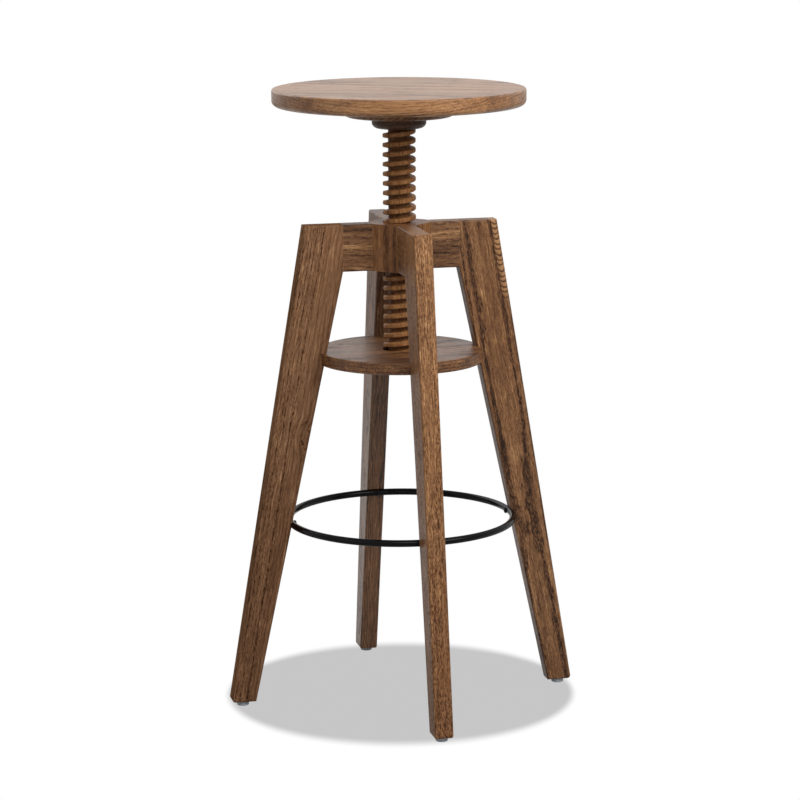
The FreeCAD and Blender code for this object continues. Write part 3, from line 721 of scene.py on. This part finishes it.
def makeFloor(look):
    bpy.ops.object.select_all(action="DESELECT")
    bpy.ops.mesh.primitive_plane_add(size=look["size"], location=(0, 0, look["level"]))
    floor = bpy.context.object
    floor.name = "floor"
    material, tree, shader = newMaterial("floor")
    output = next(node for node in tree.nodes if node.type == "OUTPUT_MATERIAL")
    mapping = addNode(tree, "ShaderNodeMapping", vector_type="TEXTURE")
    mapping.inputs["Location"].default_value = (*look["shadowCentre"], 0)
    mapping.inputs["Rotation"].default_value = (0, 0, viewTurn)
    join(tree, objectPlace(tree), (mapping, "Vector"))
    place = (mapping, "Vector")
    length = vectorCalc(tree, "LENGTH", place)
    # the painted shadow's edge
    aside = calc(tree, "DIVIDE", parts(tree, place)[0], length)
    softer = look["softAside"] - look["softAhead"]
    soft = calc(tree, "MULTIPLY_ADD", calc(tree, "MULTIPLY", aside, aside), softer, look["softAhead"])
    inner = calc(tree, "SUBTRACT", look["shadowRadius"], soft)
    outer = calc(tree, "ADD", look["shadowRadius"], soft)
    beyond = smoothStep(tree, length, inner, outer)
    tint = mixColour(tree, beyond, srgb(*look["paintedShadowGrey"]), look["white"])
    join(tree, mixColour(tree, look["bounceShare"], tint, look["bounce"]), (shader, "Base Color"))
    shader.inputs["Roughness"].default_value = look["roughness"]
    shader.inputs["Specular IOR Level"].default_value = 0.0
    # seen directly, and weaker in mirror images, the floor shows its colour and its painted shadow without
    # any shading
    shown = addNode(tree, "ShaderNodeEmission")
    join(tree, tint, (shown, "Color"))
    rays = addNode(tree, "ShaderNodeLightPath")
    near = fade(tree, length, *look["paleReach"])
    level = calc(tree, "MULTIPLY_ADD", near, look["mirrorNear"], look["mirrorFar"])
    mirrored = calc(tree, "MULTIPLY", level, (rays, "Is Glossy Ray"))
    plain = calc(tree, "MAXIMUM", (rays, "Is Camera Ray"), mirrored)
    above = mixShader(tree, plain, (shader, 0), (shown, 0))
    # from below it is clear
    clear = addNode(tree, "ShaderNodeBsdfTransparent")
    facing = addNode(tree, "ShaderNodeNewGeometry")
    oneWay = mixShader(tree, (facing, "Backfacing"), above, (clear, 0))
    join(tree, oneWay, (output, "Surface"))
    floor.data.materials.append(material)


makeFloor(floorLook)
print("floor laid")


# lamps and surroundings

lampLooks = {
    "top": {"size": 2.0, "spot": (0.3, -1.8, 2.5), "aim": (0, 0, 0.45), "power": 45},
    "left": {"size": 1.6, "spot": (-2.6, -1.2, 1.4), "aim": (0, 0, 0.45), "power": 8},
    "right": {"size": 0.9, "spot": (1.1, -1.3, 1.5), "aim": (0, 0, 0.72), "power": 16.5},
    "behind": {"size": 1.6, "spot": (-1.3, 2.2, 2.0), "aim": (0, 0, 0.4), "power": 19},
}
worldLook = {"fill": 0.32, "mirrored": 1.0}


def makeLamp(name, look):
    data = bpy.data.lights.new(name, "AREA")
    data.shape = "SQUARE"
    data.size = look["size"]
    data.energy = look["power"]
    lamp = bpy.data.objects.new(name, data)
    bpy.context.scene.collection.objects.link(lamp)
    spot = Vector(look["spot"])
    turn = (Vector(look["aim"]) - spot).to_track_quat("-Z", "Y")
    lamp.matrix_world = Matrix.Translation(spot) @ turn.to_matrix().to_4x4()


def makeWorld(look):  # white where it is seen or mirrored, and a weaker light otherwise
    world = bpy.data.worlds.new("studio")
    bpy.context.scene.world = world
    world.use_nodes = True
    tree = world.node_tree
    sky = next(node for node in tree.nodes if node.type == "BACKGROUND")
    sky.inputs["Color"].default_value = (1, 1, 1, 1)
    rays = addNode(tree, "ShaderNodeLightPath")
    glossy = calc(tree, "MULTIPLY", (rays, "Is Glossy Ray"), look["mirrored"])
    level = calc(tree, "MAXIMUM", (rays, "Is Camera Ray"), calc(tree, "MAXIMUM", glossy, look["fill"]))
    join(tree, level, (sky, "Strength"))


for name, look in lampLooks.items():
    makeLamp(name, look)
makeWorld(worldLook)
bpy.context.scene.view_settings.view_transform = "Standard"
print("studio lit")
